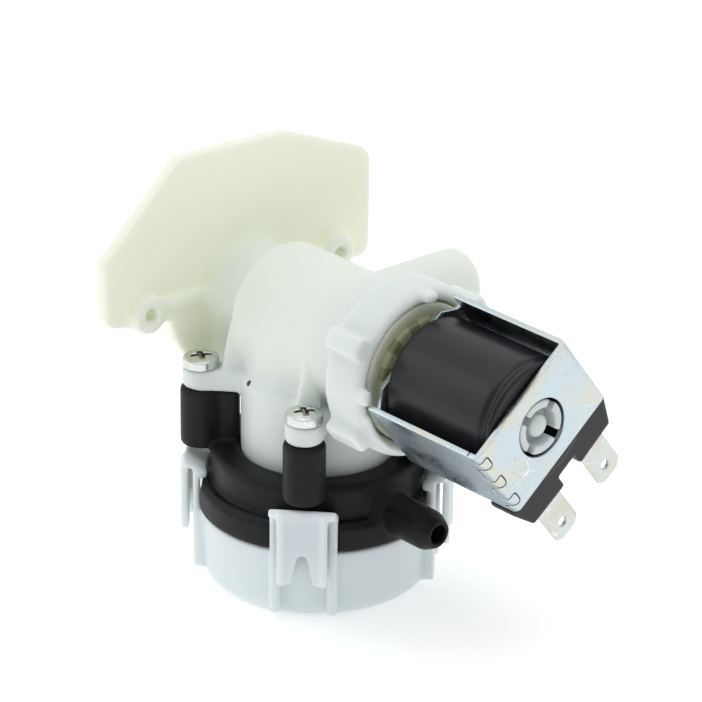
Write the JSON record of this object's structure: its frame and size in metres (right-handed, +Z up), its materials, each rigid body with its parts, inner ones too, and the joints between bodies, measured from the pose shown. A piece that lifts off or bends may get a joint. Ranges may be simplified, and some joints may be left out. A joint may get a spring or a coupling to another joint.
{
  "type": "solenoid valve",
  "caption": "Moulded water valve with a mounting plate, a side solenoid in a steel yoke, spade terminals, and a membrane chamber with a clipped cup below.",
  "frame": {"origin": "centre of the flat underside of the bottom cup, on the axis of the vertical spigot", "axes": "+Z up along the vertical spigot, +X along the solenoid away from the mounting plate, +Y along the outlet spout"},
  "size_m": [0.0918, 0.0647, 0.0788],
  "materials": {
    "natural_plastic": "translucent satin",
    "black_nylon": "matte",
    "coil_plastic": "satin",
    "dark_plastic": "satin",
    "bonnet_plastic": "translucent",
    "cap_plastic": "satin",
    "zinc_steel": "zinc plated",
    "tinned_brass": "tinned",
    "armature_steel": "ground",
    "spring_steel": "drawn wire",
    "copper": "enamelled wire",
    "rubber": "matte"
  },
  "bodies": {
    "root": {"valve_body": "natural_plastic", "inlet_o_ring": "rubber", "membrane_housing": "black_nylon", "spigot_o_ring": "rubber", "lower_membrane": "rubber", "membrane_spring": "spring_steel", "base_cup": "natural_plastic", "screw_front": "zinc_steel", "screw_right": "zinc_steel", "screw_rear": "zinc_steel", "screw_left": "zinc_steel", "yoke_bracket": "zinc_steel", "yoke_sleeve": "zinc_steel", "coil_overmould": "coil_plastic", "coil_bobbin": "dark_plastic", "coil_winding": "copper", "terminal_tab_lower": "tinned_brass", "terminal_tab_upper": "tinned_brass", "bonnet": "bonnet_plastic", "core_cap": "cap_plastic", "plunger_spring": "spring_steel", "main_diaphragm": "rubber"},
    "plunger": {"plunger": "armature_steel", "plunger_seal": "rubber"},
    "diaphragm": {"diaphragm_insert": "cap_plastic"},
    "membrane_piston": {"membrane_plate": "dark_plastic"}
  },
  "joints": [
    {"name": "plunger_slide", "type": "slide", "parent": "root", "child": "plunger", "axis": [1, 0, 0], "range_m": [0, 0.0028], "stiffness_N_per_m": 200, "springref_m": -0.01, "deforming": ["plunger_spring"]},
    {"name": "diaphragm_lift", "type": "slide", "parent": "root", "child": "diaphragm", "axis": [1, 0, 0], "range_m": [0, 0.00168], "deforming": ["main_diaphragm"]},
    {"name": "membrane_stroke", "type": "slide", "parent": "root", "child": "membrane_piston", "axis": [0, 0, -1], "range_m": [0, 0.002], "stiffness_N_per_m": 300, "springref_m": -0.006, "deforming": ["membrane_spring", "lower_membrane"]}
  ],
  "couplings": [
    {"joint": "diaphragm_lift", "follows": "plunger_slide", "ratio": 0.6}
  ]
}
